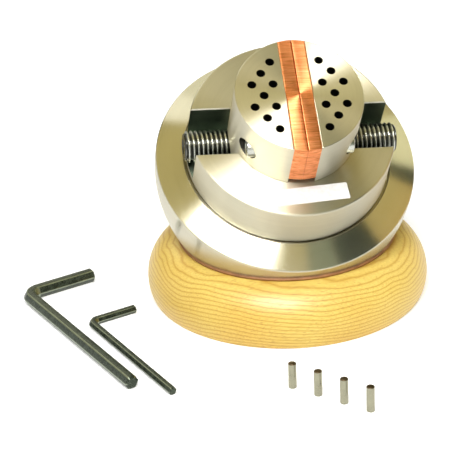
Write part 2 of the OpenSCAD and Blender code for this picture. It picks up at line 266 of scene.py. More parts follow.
def edge_levels(h0, h1, low, top):
    """Levels of a slab with rounded lower and upper edges of the given radii."""
    t = np.linspace(0, np.pi / 2, 5)
    out = []
    if low:
        out += [(low * (1 - math.sin(a)), h0 + low * (1 - math.cos(a))) for a in t]
    else:
        out.append((0.0, h0))
    if top:
        out += [(top * (1 - math.cos(a)), h1 - top * (1 - math.sin(a))) for a in t]
    else:
        out.append((0.0, h1))
    return out


def combine(thing, others, operation):
    """Joins to a piece, or cuts from it, each of the other pieces, which are used up."""
    for other in others:
        step = thing.modifiers.new("cut", "BOOLEAN")
        step.object, step.operation, step.solver = other, operation, "EXACT"
        step.material_mode = "TRANSFER"
        graph = bpy.context.evaluated_depsgraph_get()
        mesh = bpy.data.meshes.new_from_object(thing.evaluated_get(graph))
        thing.modifiers.clear()
        thing.data = mesh
        bpy.data.objects.remove(other)
    thing.data.name = thing.name
    smooth(thing, 30)
    return thing


def even_normals(thing):
    """Lets the large faces keep flat shading beside their rounded edges."""
    even = thing.modifiers.new("even", "WEIGHTED_NORMAL")
    even.keep_sharp, even.weight = True, 60


def gather(things, name):
    """Makes one piece of several."""
    verts, faces, count = [], [], 0
    for thing in things:
        mesh = thing.data
        co = np.empty(len(mesh.vertices) * 3)
        mesh.vertices.foreach_get("co", co)
        verts.append(co.reshape(-1, 3))
        faces += [[i + count for i in p.vertices] for p in mesh.polygons]
        count += len(mesh.vertices)
        bpy.data.objects.remove(thing)
    return piece(name, np.concatenate(verts), faces)


# ---------------------------------------------------------------- materials
def node_tools(mat):
    """A material's shader, a call that adds a node and a call that links or sets a socket."""
    nodes, links = mat.node_tree.nodes, mat.node_tree.links
    bsdf = next(n for n in nodes if n.type == "BSDF_PRINCIPLED")

    def add(kind, inputs=None, **settings):
        node = nodes.new(kind)
        for key, value in settings.items():
            setattr(node, key, value)
        for key, value in (inputs or {}).items():
            put(node, key, value)
        return node

    def put(node, key, value):
        socket = node.inputs[key]
        if isinstance(value, bpy.types.NodeSocket):
            links.new(value, socket)
        else:
            socket.default_value = value

    return bsdf, add, put


def new_material(name):
    """A node material and its tools."""
    mat = bpy.data.materials.new(name)
    mat.use_nodes = True
    return (mat, *node_tools(mat))


def ramp(add, fac, stops):
    """Colour ramp over (position, colour) stops."""
    node = add("ShaderNodeValToRGB", {"Fac": fac})
    points = node.color_ramp.elements
    while len(points) < len(stops):
        points.new(0.5)
    for point, (at, colour) in zip(points, stops):
        point.position = at
        point.color = (*colour, 1)
    return node.outputs["Color"]


def grey(value):
    """An even grey."""
    return (value, value, value)


def shades(base, darker, lighter):
    """A darker and a lighter shade of a colour, each by a share of it."""
    dark = tuple(c * (1 - darker) for c in base)
    light = tuple(min(1.0, c * (1 + lighter)) for c in base)
    return dark, light


def stretched(add, at, scale, turn=0.0):
    """Coordinates scaled along each axis, then turned about Z."""
    inputs = {"Vector": at, "Rotation": (0, 0, turn), "Scale": scale}
    return add("ShaderNodeMapping", inputs).outputs[0]


def piece_coords(add):
    """Object coordinates in millimetres."""
    coords = add("ShaderNodeTexCoord").outputs["Object"]
    return stretched(add, coords, (1 / MM,) * 3)


def local_coords(add, place):
    """Object coordinates in millimetres in a piece's own frame."""
    turn = place.to_3x3().inverted()
    shift = -(turn @ place.translation)
    coords = add("ShaderNodeTexCoord").outputs["Object"]
    node = add(
        "ShaderNodeMapping",
        {
            "Vector": coords,
            "Location": shift,
            "Rotation": turn.to_euler("XYZ"),
            "Scale": (1 / MM,) * 3,
        },
    )
    return node.outputs["Vector"]


def noise(add, at, scale, detail, roughness=0.5):
    """Fractal noise, from 0 to 1."""
    inputs = {"Vector": at, "Scale": scale, "Detail": detail, "Roughness": roughness}
    return add("ShaderNodeTexNoise", inputs).outputs[0]


def bump(add, height, strength, depth):
    """Normals bent by a height, over a depth in millimetres."""
    inputs = {"Height": height, "Strength": strength, "Distance": depth * MM}
    return add("ShaderNodeBump", inputs).outputs[0]


def math_node(add, operation, a, b=None):
    """One operation on one or two values."""
    inputs = {0: a} if b is None else {0: a, 1: b}
    return add("ShaderNodeMath", inputs, operation=operation).outputs[0]


def plus_share(add, total, value, share):
    """A total and a share of a value."""
    return math_node(add, "ADD", total, math_node(add, "MULTIPLY", value, share))


def average(add, a, b, share):
    """A share of one value and the rest of the other."""
    return plus_share(add, math_node(add, "MULTIPLY", a, share), b, 1 - share)


def vector_math(add, operation, *vectors):
    """One operation on one or two vectors."""
    node = add("ShaderNodeVectorMath", dict(enumerate(vectors)), operation=operation)
    return node.outputs["Value" if operation == "LENGTH" else "Vector"]


def from_axis(add, here):
    """Distance from the Z axis, and the three coordinates."""
    split = add("ShaderNodeSeparateXYZ", {"Vector": here})
    x, y, z = (split.outputs[i] for i in range(3))
    flat = add("ShaderNodeCombineXYZ", {"X": x, "Y": y}).outputs[0]
    return vector_math(add, "LENGTH", flat), x, y, z


def mix(add, fac, a, b, blend="MIX"):
    """Blend of two colours."""
    a, b = ((*value, 1) if isinstance(value, tuple) else value for value in (a, b))
    node = add("ShaderNodeMix", {0: fac, 6: a, 7: b}, data_type="RGBA", blend_type=blend)
    return node.outputs[2]


def turned_metal(name, place, base, rough, spread, groove, tint):
    """Metal with lathe grooves round an axis: the highlight spreads across the grooves,
    so its tangent is the normal crossed with the direction round the axis."""
    mat, bsdf, add, put = new_material(name)
    here = local_coords(add, place)
    radius, x, y, z = from_axis(add, here)
    angle = math_node(add, "ARCTAN2", y, x)
    coords = add("ShaderNodeTexCoord").outputs["Object"]
    arm = vector_math(add, "SUBTRACT", coords, place.translation * MM)
    axis = place.to_3x3() @ Vector((0, 0, 1))
    world = add(
        "ShaderNodeVectorTransform",
        {"Vector": vector_math(add, "CROSS_PRODUCT", axis, arm)},
        vector_type="VECTOR",
        convert_from="OBJECT",
        convert_to="WORLD",
    )
    normal = add("ShaderNodeNewGeometry").outputs["Normal"]
    across = vector_math(add, "CROSS_PRODUCT", normal, world.outputs[0])
    put(bsdf, "Tangent", vector_math(add, "NORMALIZE", across))
    # grooves: noise that changes fast with radius and height, and slowly round the axis
    slow = math_node(add, "MULTIPLY", angle, 0.35)
    lines = add("ShaderNodeCombineXYZ", {"X": radius, "Y": z, "Z": slow}).outputs[0]
    fine = noise(add, lines, 5.0, 3.0, 0.7)
    coarse = noise(add, lines, 0.9, 2.0)
    patches = noise(add, here, 0.04, 1.0)
    both = average(add, fine, coarse, 0.55)
    dark, light = shades(base, 2.2 * tint, tint)
    colour = ramp(add, both, [(0.36, dark), (0.5, base), (0.66, light)])
    worn = ramp(add, patches, [(0.35, grey(0.93)), (0.65, grey(1.0))])
    put(bsdf, "Base Color", mix(add, 1.0, colour, worn, "MULTIPLY"))
    put(bsdf, "Metallic", 1.0)
    put(bsdf, "Roughness", ramp(add, patches, [(0.2, grey(rough * 0.98)), (0.8, grey(rough * 1.02))]))
    put(bsdf, "Anisotropic", spread)
    put(bsdf, "Normal", bump(add, both, groove * 0.1, 0.02))
    return mat


def plain_metal(name, base, rough):
    """Machined metal with fine streaks, stains and slight roughness changes."""
    mat, bsdf, add, put = new_material(name)
    here = piece_coords(add)
    fine = noise(add, here, 3.0, 4.0)
    both = average(add, fine, noise(add, here, 0.2, 3.0), 0.4)
    dark, light = shades(base, 0.2, 0.1)
    put(bsdf, "Base Color", ramp(add, both, [(0.35, dark), (0.5, base), (0.65, light)]))
    put(bsdf, "Metallic", 1.0)
    put(bsdf, "Roughness", ramp(add, both, [(0.35, grey(rough * 0.8)), (0.65, grey(rough * 1.25))]))
    put(bsdf, "Normal", bump(add, fine, 0.15, 0.03))
    return mat


def base_colour(bsdf):
    """The socket that a shader's base colour comes from."""
    return bsdf.inputs["Base Color"].links[0].from_socket


def pin_metal_painted_tops(name, side, end, height):
    """Plated pins whose upper ends are darkened by a painted reflection: the colour changes at a height."""
    mat = plain_metal(name, side, 0.3)
    bsdf, add, put = node_tools(mat)
    z = add("ShaderNodeSeparateXYZ", {"Vector": piece_coords(add)}).outputs["Z"]
    # above this height the colour turns to the dark brown end colour, a painted reflection
    above = add("ShaderNodeMapRange", {"Value": z, "From Min": height - 0.1, "From Max": height})
    put(bsdf, "Base Color", mix(add, above.outputs[0], base_colour(bsdf), end))
    return mat


def thread_metal_with_painted_shade(name, place, base, root, crest):
    """Machined metal that darkens towards the roots of a thread, as painted shade: its
    colour follows the distance from the screw's axis."""
    mat, bsdf, add, put = new_material(name)
    here = local_coords(add, place)
    radius = from_axis(add, here)[0]
    share = add("ShaderNodeMapRange", {"Value": radius, "From Min": root, "From Max": crest})
    fine = noise(add, here, 3.0, 4.0)
    # the roots and flanks are coloured darker than the crests: painted shade
    painted_root_shade, flank = (tuple(c * part for c in base) for part in (0.10, 0.7))
    deep = ramp(add, share.outputs[0], [(0.12, painted_root_shade), (0.55, flank), (0.85, base)])
    worn = ramp(add, fine, [(0.35, grey(0.86)), (0.65, grey(1.0))])
    put(bsdf, "Base Color", mix(add, 1.0, deep, worn, "MULTIPLY"))
    put(bsdf, "Metallic", 1.0)
    put(bsdf, "Roughness", ramp(add, fine, [(0.35, grey(0.22)), (0.65, grey(0.32))]))
    put(bsdf, "Normal", bump(add, fine, 0.15, 0.03))
    return mat


def oak(name):
    """Turned oak: growth layers are nearly level sheets, bent by slow noise, so they draw
    contour lines on the round outside. Short dark pores run along the plank."""
    mat, bsdf, add, put = new_material(name)
    here = piece_coords(add)
    split = add("ShaderNodeSeparateXYZ", {"Vector": here})
    x, y, z = (split.outputs[i] for i in range(3))
    bend = noise(add, stretched(add, here, (0.012, 0.024, 0.02)), 1.0, 2.0)
    wobble = noise(add, stretched(add, here, (0.04, 0.07, 0.09)), 1.0, 3.0, 0.6)
    level = z
    for value, share in ((x, 0.012), (y, 0.03), (bend, 13.0), (wobble, 1.9)):
        level = plus_share(add, level, value, share)
    layers = math_node(add, "FRACT", math_node(add, "MULTIPLY", level, 0.64))
    early_late = ((0.0, 0.85), (0.35, 1.0), (0.62, 0.8), (0.82, 0.1), (1.0, 0.85))
    band = ramp(add, layers, [(at, grey(value)) for at, value in early_late])
    fibre = noise(add, stretched(add, here, (0.12, 2.6, 2.6)), 1.0, 4.0, 0.65)
    pores = noise(add, stretched(add, here, (0.30, 3.4, 3.4)), 1.0, 1.0, 0.4)
    pore = ramp(add, pores, [(0.58, grey(0.0)), (0.68, grey(1.0))])
    base = mix(add, band, (0.60, 0.35, 0.045), (0.83, 0.65, 0.17))
    fibres = ramp(add, fibre, [(0.3, (0.86, 0.78, 0.62)), (0.7, grey(1.0))])
    base = mix(add, 1.0, base, fibres, "MULTIPLY")
    base = mix(add, math_node(add, "MULTIPLY", pore, 0.42), base, (0.42, 0.19, 0.04))
    tone = noise(add, here, 0.035, 2.0)
    tones = ramp(add, tone, [(0.3, (0.95, 0.86, 0.70)), (0.7, grey(1.0))])
    put(bsdf, "Base Color", mix(add, 1.0, base, tones, "MULTIPLY"))
    put(bsdf, "Roughness", ramp(add, fibre, [(0.3, grey(0.36)), (0.7, grey(0.48))]))
    put(bsdf, "Coat Weight", 0.07)
    put(bsdf, "Coat Roughness", 0.22)
    depth = math_node(add, "SUBTRACT", math_node(add, "MULTIPLY", fibre, 0.4), pore)
    put(bsdf, "Normal", bump(add, depth, 0.25, 0.08))
    return mat


def leather(name):
    """Smooth brown leather with fine pebbles."""
    mat, bsdf, add, put = new_material(name)
    here = piece_coords(add)
    cells = add("ShaderNodeTexVoronoi", {"Vector": here, "Scale": 1.6}).outputs["Distance"]
    stains = noise(add, here, 0.2, 4.0)
    browns = [(0.3, (0.26, 0.11, 0.035)), (0.7, (0.42, 0.19, 0.065))]
    put(bsdf, "Base Color", ramp(add, stains, browns))
    put(bsdf, "Roughness", 0.6)
    put(bsdf, "Normal", bump(add, cells, 0.4, 0.1))
    return mat


def black_oxide(name):
    """Black oxide on steel: nearly black with a green cast and worn lighter patches."""
    mat, bsdf, add, put = new_material(name)
    here = piece_coords(add)
    fine = noise(add, here, 2.2, 5.0)
    both = average(add, fine, noise(add, here, 0.25, 4.0, 0.6), 0.4)
    blacks = [(0.35, (0.022, 0.030, 0.019)), (0.55, (0.045, 0.058, 0.038)), (0.72, (0.10, 0.12, 0.085))]
    put(bsdf, "Base Color", ramp(add, both, blacks))
    put(bsdf, "Metallic", 0.55)
    put(bsdf, "Roughness", ramp(add, both, [(0.35, grey(0.22)), (0.65, grey(0.34))]))
    put(bsdf, "Normal", bump(add, fine, 0.12, 0.05))
    return mat


def copper(name, place):
    """Copper faced together with the jaws, then rubbed across: lathe grooves, and coarser
    sanding marks that run from jaw to jaw."""
    mat = turned_metal(name, place, (0.89, 0.335, 0.14), 0.44, 0.88, groove=0.6, tint=0.05)
    bsdf, add, put = node_tools(mat)
    here = local_coords(add, place)
    marks = noise(add, stretched(add, here, (0.10, 1.5, 1.0), 0.05), 1.0, 4.0, 0.7)
    browned = [(0.36, (0.70, 0.60, 0.50)), (0.5, (0.92, 0.90, 0.88)), (0.62, grey(1.0))]
    both = mix(add, 1.0, base_colour(bsdf), ramp(add, marks, browned), "MULTIPLY")
    bright = ramp(add, marks, [(0.56, grey(0.0)), (0.72, grey(0.5))])
    put(bsdf, "Base Color", mix(add, bright, both, (0.95, 0.58, 0.32)))
    return mat


def blank_card(name):
    """Glossy white card, slightly yellowed and scuffed."""
    mat, bsdf, add, put = new_material(name)
    scuff = noise(add, piece_coords(add), 0.7, 5.0)
    put(bsdf, "Base Color", ramp(add, scuff, [(0.3, (0.70, 0.69, 0.66)), (0.6, (0.78, 0.77, 0.75))]))
    put(bsdf, "Roughness", ramp(add, scuff, [(0.3, grey(0.3)), (0.7, grey(0.45))]))
    return mat


def give(thing, mat):
    """One material for all of a piece."""
    thing.data.materials.clear()
    thing.data.materials.append(mat)


def dress(thing, place, body, slot, mat, *nodes):
    """A finished piece: where it goes, what it moves with, the material it takes when one is
    given, and what it stands for. The name of its finish, slot, is not used."""
    thing.data.transform(Matrix.Scale(MM, 4) @ place)
    if mat:
        give(thing, mat)
    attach(thing, body)
    if nodes:
        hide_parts(*nodes)


STEEL = (0.575, 0.545, 0.435)
ball_steel = turned_metal("turned ball steel", BALL, STEEL, 0.245, 0.985, groove=0.2, tint=0.02)
table_steel = turned_metal("faced table steel", TABLE, STEEL, 0.38, 0.9, groove=0.3, tint=0.02)
jaw_steel = turned_metal("faced jaw steel", TABLE, STEEL, 0.38, 0.9, groove=0.3, tint=0.02)
# a lighter colour for the slot's chamfers is a painted highlight; its lower roughness is the chamfer's own
# finish
chamfer_painted_highlight = plain_metal("chamfer steel with painted highlight", (0.62, 0.60, 0.50), 0.30)
# dark green-black for the slot's walls and floor is painted shade
painted_slot_shade = plain_metal("slot steel with painted shade", (0.13, 0.165, 0.12), 0.34)
# near black for the jaws' bores and pin holes is painted shade
painted_hole_shade = plain_metal("hole steel with painted shade", (0.03, 0.03, 0.025), 0.4)
pad_copper = copper("faced copper", TABLE)
screw_steel = plain_metal("machined screw steel", (0.50, 0.51, 0.46), 0.28)
# the lighter colour on the keys' corners and end edges is partly wear, partly a painted highlight
worn_and_highlit_black = plain_metal("worn black edges with painted highlight", (0.24, 0.27, 0.205), 0.32)
# the dark brown on the pins' upper ends is a painted reflection
nickel_with_painted_tops = pin_metal_painted_tops("nickel plated pins", (0.31, 0.30, 0.22), (0.10, 0.075, 0.045), PIN_LEN - 0.28)
bearing_steel = plain_metal("ground bearing steel", (0.62, 0.61, 0.58), 0.2)
bronze = plain_metal("machined bronze", (0.52, 0.32, 0.13), 0.32)
brass = plain_metal("stamped brass", (0.68, 0.50, 0.19), 0.3)
black = black_oxide("black oxide")
wood = oak("turned oak")
hide = leather("brown leather")
white_card = blank_card("blank white card")


# ---------------------------------------------------------------- wooden ring
def ring_profile():
    """Bore, flat underside, one round outside and the rebate that the liner lies in. The
    outside's arc is drawn finely, to end close to where it meets the rebate."""
    belly = (RING_R - RING_ROUND, RING_BELLY)
    foot = -math.degrees(math.asin(RING_BELLY / RING_ROUND))
    outside = arc(belly, RING_ROUND, foot, 90, 400)
    free = np.hypot(outside[:, 0], outside[:, 1] - BALL_Z) > SEAT_R
    outside = outside[free][::6]
    foot_r = outside[0, 0]
    top = math.degrees(math.atan2(BALL_Z - outside[-1, 1], outside[-1, 0]))
    rebate = arc((0, BALL_Z), SEAT_R, -top - 0.3, -math.degrees(LINER_LOW), 10)
    inner = SEAT_R - 0.5
    end = math.degrees(math.acos(RING_BORE / inner))
    slope = arc((0, BALL_Z), inner, -math.degrees(LINER_LOW), -end, 10)
    up = (outside[4, 0], outside[4, 1], 0)
    under = rounded([(RING_BORE, 0.7, 0), (RING_BORE, 0, 0.6), (foot_r, 0, 0.9), up])
    return np.concatenate([under, outside[5:], rebate, slope])


ring = turned("ring_turned", ring_profile(), None, 256, closed=True, sharp=40)
dress(ring, BENCH, "base", "oak", wood, "wood_ring")


# ---------------------------------------------------------------- ball
def ball_profile():
    """Bearing pocket, recess, lip, conical rim, sphere and the nut's pocket."""
    floor, pocket = TABLE_H0 - BEARING_H, NUT_POCKET - BALL_R
    top = math.degrees(math.asin(RIM_H / BALL_R))
    foot = -math.degrees(math.acos(NUT_POCKET_R / BALL_R))
    mouth = -math.sqrt(BALL_R**2 - NUT_POCKET_R**2)
    sphere = arc((0, 0), BALL_R, top - 0.8, foot + 0.6, 150)
    inside = rounded(
        [
            (NUT_POCKET_R, mouth + 0.6, 0),
            (NUT_POCKET_R, pocket, 0.3),
            (BUSH_R, pocket, 0.2),
            (BUSH_R, floor, 0.2),
            (RACE_POCKET_R, floor, 0.3),
            (RACE_POCKET_R, RECESS_H, 0.2),
            (RECESS_R, RECESS_H, 0.25),
            (RECESS_R, LIP_H, 0.45),
            (RIM_R, RIM_H, 0.9),
            tuple(sphere[0]) + (0,),
        ],
        6,
    )
    return np.concatenate([inside[:-1], sphere])


ball = turned("ball_turned", ball_profile(), None, 256, closed=True)
dress(ball, BALL, "ball", "ball_steel", ball_steel, "ball_body")


# ---------------------------------------------------------------- turntable
def table_piece():
    """A turned disc with a boss, cut by a slot whose upper edges are chamfered."""
    boss_h = TABLE_H0 - BOSS_LEN
    disc = rounded(
        [
            (0, boss_h, 0),
            (BOSS_R, boss_h, 0.4),
            (BOSS_R, TABLE_H0, 0),
            (TABLE_R, TABLE_H0, 0.45),
            (TABLE_R, TABLE_H1, 0.8),
            (0, TABLE_H1, 0),
        ],
        6,
    )
    body = turned("table_turned", disc, None, 256)
    give(body, table_steel)
    # the cutter: its chamfered sides go on upwards, past the table's top
    edge, up = 0.4, 3.0
    section = np.array(
        [
            [-SLOT_HALF, SLOT_H],
            [SLOT_HALF, SLOT_H],
            [SLOT_HALF, TABLE_H1 - edge],
            [SLOT_HALF + edge + up, TABLE_H1 + up],
            [-SLOT_HALF - edge - up, TABLE_H1 + up],
            [-SLOT_HALF, TABLE_H1 - edge],
        ]
    )
    long = TABLE_R + 5
    points = np.concatenate([np.c_[np.full(6, x), section] for x in (-long, long)])
    faces = grid_faces(2, 6) + [list(range(6))[::-1], list(range(6, 12))]
    slot = piece("slot", points, faces)
    # the slot's walls and floor take the dark colour, painted shade
    give(slot, painted_slot_shade)
    # the slot's chamfers take the lighter colour, a painted highlight
    slot.data.materials.append(chamfer_painted_highlight)
    for face in slot.data.polygons:
        if face.center.z > TABLE_H1 and abs(face.normal.y) > 0.1:
            face.material_index = 1
    combine(body, [slot], "DIFFERENCE")
    even_normals(body)
    return body


dress(table_piece(), TABLE, "head", "head_steel", None, "turntable")


def plate():
    """A blank card on the turntable's top, with rounded corners: half its length and
    width, its corners' radius and its thickness."""
    w, d, r, t = 13.8, 3.5, 0.5, 0.12
    plan = rounded([(w, d, r), (-w, d, r), (-w, -d, r), (w, -d, r)], 4)
    n = len(plan)
    levels = ((0, 0), (0, t * 0.7), (0.06, t))
    rings = [np.c_[plan * (1 - s / w), np.full(n, h)] for s, h in levels]
    faces = grid_faces(3, n) + [list(range(n))[::-1], list(range(2 * n, 3 * n))]
    place = Matrix.Translation((3.4, -29.9, TABLE_H1))
    place = place @ Matrix.Rotation(math.radians(4.7), 4, "Z")
    return piece("blank_plate", np.concatenate(rings), faces, place)


dress(plate(), TABLE, "head", "head_steel", white_card)


# ---------------------------------------------------------------- lead screw
THREAD_DEPTH = 0.61 * PITCH
ROOT_R = SCREW_R - THREAD_DEPTH
END_R = ROOT_R - 0.15


def thread_grid(steps=72):
    """One threaded end, seen along its own axis. Column i stands at the angle t, and row
    k of turn n lies at x = pitch * (n + share_k + t / 2 pi), so every row follows the
    helix. The radius comes from the profile at that share: crest, flank, root, flank.
    Rows that would lie past either end are drawn back to it, and a cone cuts the thread
    down to its root at both ends."""
    share = np.array([0.0, 0.12, 0.24, 0.37, 0.50, 0.62, 0.75, 0.88])
    depth = np.array([0.0, 0.0, 0.33, 0.72, 1.0, 1.0, 0.67, 0.28])
    length = SCREW_HALF - NECK_X
    turns = np.arange(-1, int(length / PITCH) + 2)
    rows = (turns[:, None] + share[None, :]).reshape(-1, 1)
    cut = np.tile(depth, len(turns)).reshape(-1, 1)
    t = np.linspace(0, 2 * np.pi, steps + 1)[None, :]
    x = np.clip(PITCH * (rows + t / (2 * np.pi)), 0, length)
    slope = 1.1
    cone = np.minimum(END_R + slope * (length - x), END_R + slope * x)
    r = np.minimum(SCREW_R - THREAD_DEPTH * cut, cone)
    points = np.stack([r * np.cos(t), r * np.sin(t), NECK_X + x], axis=-1)
    return points, grid_faces(points.shape[0], steps + 1, around=False)


def lead_screw():
    """A threaded end, its mirror image turned end for end, a neck and two sockets."""
    points, faces = thread_grid()
    back = points * np.array([1, -1, -1])
    end, af, deep = SCREW_HALF, SOCKET_AF, SOCKET_DEEP
    cap = [
        (end - deep - 1.4, lambda t: 0 * t),
        (end - deep, lambda t: hexagon(t, af * 0.97)),
        (end - deep, lambda t: hexagon(t, af)),
        (end - 0.35, lambda t: hexagon(t, af)),
        (end - 0.06, lambda t: hexagon(t, af) + 0.28),
        (end, lambda t: hexagon(t, af) + 0.4),
        (end, lambda t: 0 * t + END_R),
    ]
    neck = [(NECK_X, END_R), (NECK_X, NECK_R), (-NECK_X, NECK_R), (-NECK_X, END_R)]
    parts = [
        piece("end", points.reshape(-1, 3), faces),
        piece("end", back.reshape(-1, 3), faces),
        shaped("cap", cap),
        shaped("cap", cap, Matrix.Rotation(math.pi, 4, "X")),
        shaped("neck", [(h, lambda t, r=r: 0 * t + r) for h, r in neck]),
    ]
    whole = gather(parts, "screw_threaded")
    smooth(whole, 62)
    return whole


SCREW = TABLE @ Matrix.Translation((0, 0, SCREW_H)) @ Matrix.Rotation(math.pi / 2, 4, "Y")
thread_steel = thread_metal_with_painted_shade("threaded screw steel", SCREW, (0.60, 0.61, 0.55), ROOT_R, SCREW_R)
dress(lead_screw(), SCREW, "screw", "screw_steel", thread_steel, "lead_screw")


# ---------------------------------------------------------------- screws and nut
def cap_screw_rows(d, head_r, head_h, length):
    """Socket cap screw, its head's underside at height 0. The shank's radius follows a
    fine thread: it falls and rises once along each pitch and once round the axis."""
    af = d * 0.75
    fine = d / 6
    shank = np.arange(-length + 0.4, -0.6, fine / 4)
    rows = [(-length, lambda t: 0 * t), (-length, lambda t: 0 * t + d / 2 * 0.75)]

    def threaded(h):
        return lambda t: d / 2 - d * 0.08 * np.abs(((h / fine - t / (2 * np.pi)) % 1) * 2 - 1)

    rows += [(h, threaded(h)) for h in shank]
    rows += [
        (0, lambda t: 0 * t + d / 2),
        (0, lambda t: 0 * t + head_r - 0.15),
        (0.15, lambda t: 0 * t + head_r),
        (head_h * 0.85, lambda t: 0 * t + head_r),
        (head_h * 0.95, lambda t: 0 * t + head_r * 0.96),
        (head_h, lambda t: 0 * t + head_r * 0.88),
        (head_h, lambda t: hexagon(t, af) + 0.25),
        (head_h - 0.25, lambda t: hexagon(t, af)),
        (head_h * 0.4, lambda t: hexagon(t, af)),
        (head_h * 0.3, lambda t: 0 * t),
    ]
    return rows


def pad_screw_pair(name):
    """The two screws that hold a copper pad, sunk in the jaw's round side."""
    rows = cap_screw_rows(d=4.0, head_r=3.5, head_h=4.0, length=14.6)
    parts = []
    for side in (-1, 1):
        at = Matrix.Translation((PAD_SINK_X, side * PAD_SCREW_Y, PAD_SCREW_H))
        at = at @ Matrix.Rotation(math.pi / 2, 4, "Y")
        parts.append(shaped(f"{name}_{side}", rows, at, 72, sharp=35))
    return gather(parts, name)


for side, place in (("right", TABLE), ("left", LEFT)):
    pair = pad_screw_pair(f"cap_screws_{side}")
    dress(pair, place, f"{side}_jaw", "black_steel", screw_steel, f"pad_screws_{side}")


# ---------------------------------------------------------------- jaws and pads
def rod(radius, x0, x1, y, h, steps=48):
    """A cutter along X."""
    rows = np.array([[0, x0], [radius, x0], [radius, x1], [0, x1]], float)
    at = Matrix.Translation((0, y, h)) @ Matrix.Rotation(math.pi / 2, 4, "Y")
    return turned("rod", rows, at, steps)


def jaw():
    """A half round with a tongue, bored for the lead screw, for the two cap screws and
    for the pins in its top."""
    top = slab(
        "jaw",
        half_round(JAW_R, JAW_SHIFT, JAW_FACE),
        edge_levels(JAW_H0, JAW_H1, 0.25, 0.4),
    )
    tongue = slab(
        "tongue",
        half_round(JAW_R, JAW_SHIFT, JAW_FACE, y1=TONGUE_HALF),
        edge_levels(TONGUE_H0, JAW_H0 + 3, 0.3, 0.0),
    )
    give(top, jaw_steel)
    give(tongue, jaw_steel)
    combine(top, [tongue], "UNION")
    past = 40
    cuts = [rod(SCREW_R + 0.05, 0, past, 0, SCREW_H, 96)]
    for y in (-PAD_SCREW_Y, PAD_SCREW_Y):
        cuts.append(rod(PAD_SHANK_HOLE_R, 0, PAD_SINK_X + 1, y, PAD_SCREW_H))
        cuts.append(rod(PAD_HEAD_HOLE_R, PAD_SINK_X, past, y, PAD_SCREW_H))
    r = PIN_HOLE_R
    hole = np.array([[0, -7.4], [r, -6.5], [r, -0.08], [r + 0.08, 0], [r + 0.08, 1], [0, 1]])
    for row, count in enumerate(PIN_HOLE_ROWS):
        for i in range(count):
            x = JAW_FACE + PIN_ROW_START + row * PIN_ROW_PITCH
            y = (i - (count - 1) / 2) * PIN_HOLE_PITCH
            cuts.append(turned("hole", hole, Matrix.Translation((x, y, JAW_H1)), 32))
    # bores and pin holes are coloured near black: painted shade
    for cut in cuts:
        give(cut, painted_hole_shade)
    combine(top, cuts, "DIFFERENCE")
    return top


def copy_of(thing, name):
    """A piece again, with its own mesh."""
    again = thing.copy()
    again.data = thing.data.copy()
    again.name = again.data.name = name
    bpy.context.scene.collection.objects.link(again)
    return again


def pad(name):
    """A thick copper plate between the jaw's flat and the middle, round at both ends."""
    plan = half_round(JAW_R, JAW_SHIFT, PAD_GAP, JAW_FACE)
    return slab(name, plan, edge_levels(PAD_H0, JAW_H1, 0.35, 0.35))


one_jaw = jaw()
even_normals(one_jaw)
one_jaw.name = one_jaw.data.name = "jaw_faced_right"
dress(copy_of(one_jaw, "jaw_faced_left"), LEFT, "left_jaw", "head_steel", None, "jaw_left")
dress(one_jaw, TABLE, "right_jaw", "head_steel", None, "jaw_right")
dress(pad("pad_right"), TABLE, "right_jaw", "copper", pad_copper, "copper_pad_right")
dress(pad("pad_left"), LEFT, "left_jaw", "copper", pad_copper, "copper_pad_left")


# ---------------------------------------------------------------- keys and pins
def key(name, af, long_leg, short_leg, at, turn):
    """A hexagon bar carried along an L: a straight leg, a quarter bend and a straight
    leg, with its corners rounded and its ends chamfered."""
    bend = af
    quarter = np.pi / 2
    turns = np.linspace(0, 1, 13) * quarter
    long_x = long_leg - af / 2
    short_y = short_leg - af / 2
    cut = af * 0.12
    face = 1 - 2 * cut / af
    # the path: x, y, the direction's angle and the section's size
    path = [(long_x, 0, 0, 0.0), (long_x, 0, 0, face), (long_x - cut, 0, 0, 1.0)]
    path += [(long_x * f + bend * (1 - f), 0, 0, 1.0) for f in (0.75, 0.5, 0.25)]
    path += [(bend - bend * math.sin(a), bend - bend * math.cos(a), a, 1.0) for a in turns]
    path += [(0, bend * (1 - f) + short_y * f, quarter, 1.0) for f in (0.3, 0.6)]
    path += [(0, short_y - cut, quarter, 1.0), (0, short_y, quarter, face), (0, short_y, quarter, 0.0)]
    w = af / math.sqrt(3)
    plan = rounded([(w * math.cos(a), w * math.sin(a), cut) for a in np.radians(range(0, 360, 60))], 3)
    up = np.array([0, 0, 1.0])
    rows = []
    for x, y, a, size in path:
        side = np.array([math.sin(a), math.cos(a), 0])
        rows.append(np.array([x, y, af / 2]) + size * (plan[:, :1] * side + plan[:, 1:] * up))
    points = np.stack(rows)
    place = Matrix.Translation((*at, 0)) @ Matrix.Rotation(math.radians(turn), 4, "Z")
    return piece(name, points, grid_faces(len(rows), len(plan)), place, sharp=28)


large = key("hex_key_large", LARGE_KEY_AF, 87.0, 32.0, (-102.6, -5.9), -59.2)
small = key("hex_key_small", SMALL_KEY_AF, 65.0, 21.0, (-76.6, -29.0), -59.8)
dress(large, BENCH, "base", "black_steel", black, "key_large")
dress(small, BENCH, "base", "black_steel", black, "key_small")


def wear_and_highlight_edges(thing, mat, af):
    """A second material, for the rounded corners of a hexagon key and for its ends' edges:
    lighter, partly wear and partly a painted highlight. Their faces are the narrow ones:
    their shortest side is about 0.04 times the width across the flats."""
    thing.data.materials.append(mat)
    points = thing.data.vertices
    for face in thing.data.polygons:
        corners = [points[v].co for v in face.vertices]
        sides = [(corners[i] - corners[i - 1]).length for i in range(len(corners))]
        if len(sides) == 4 and 0.01 * af * MM < min(sides) < 0.1 * af * MM:
            face.material_index = 1


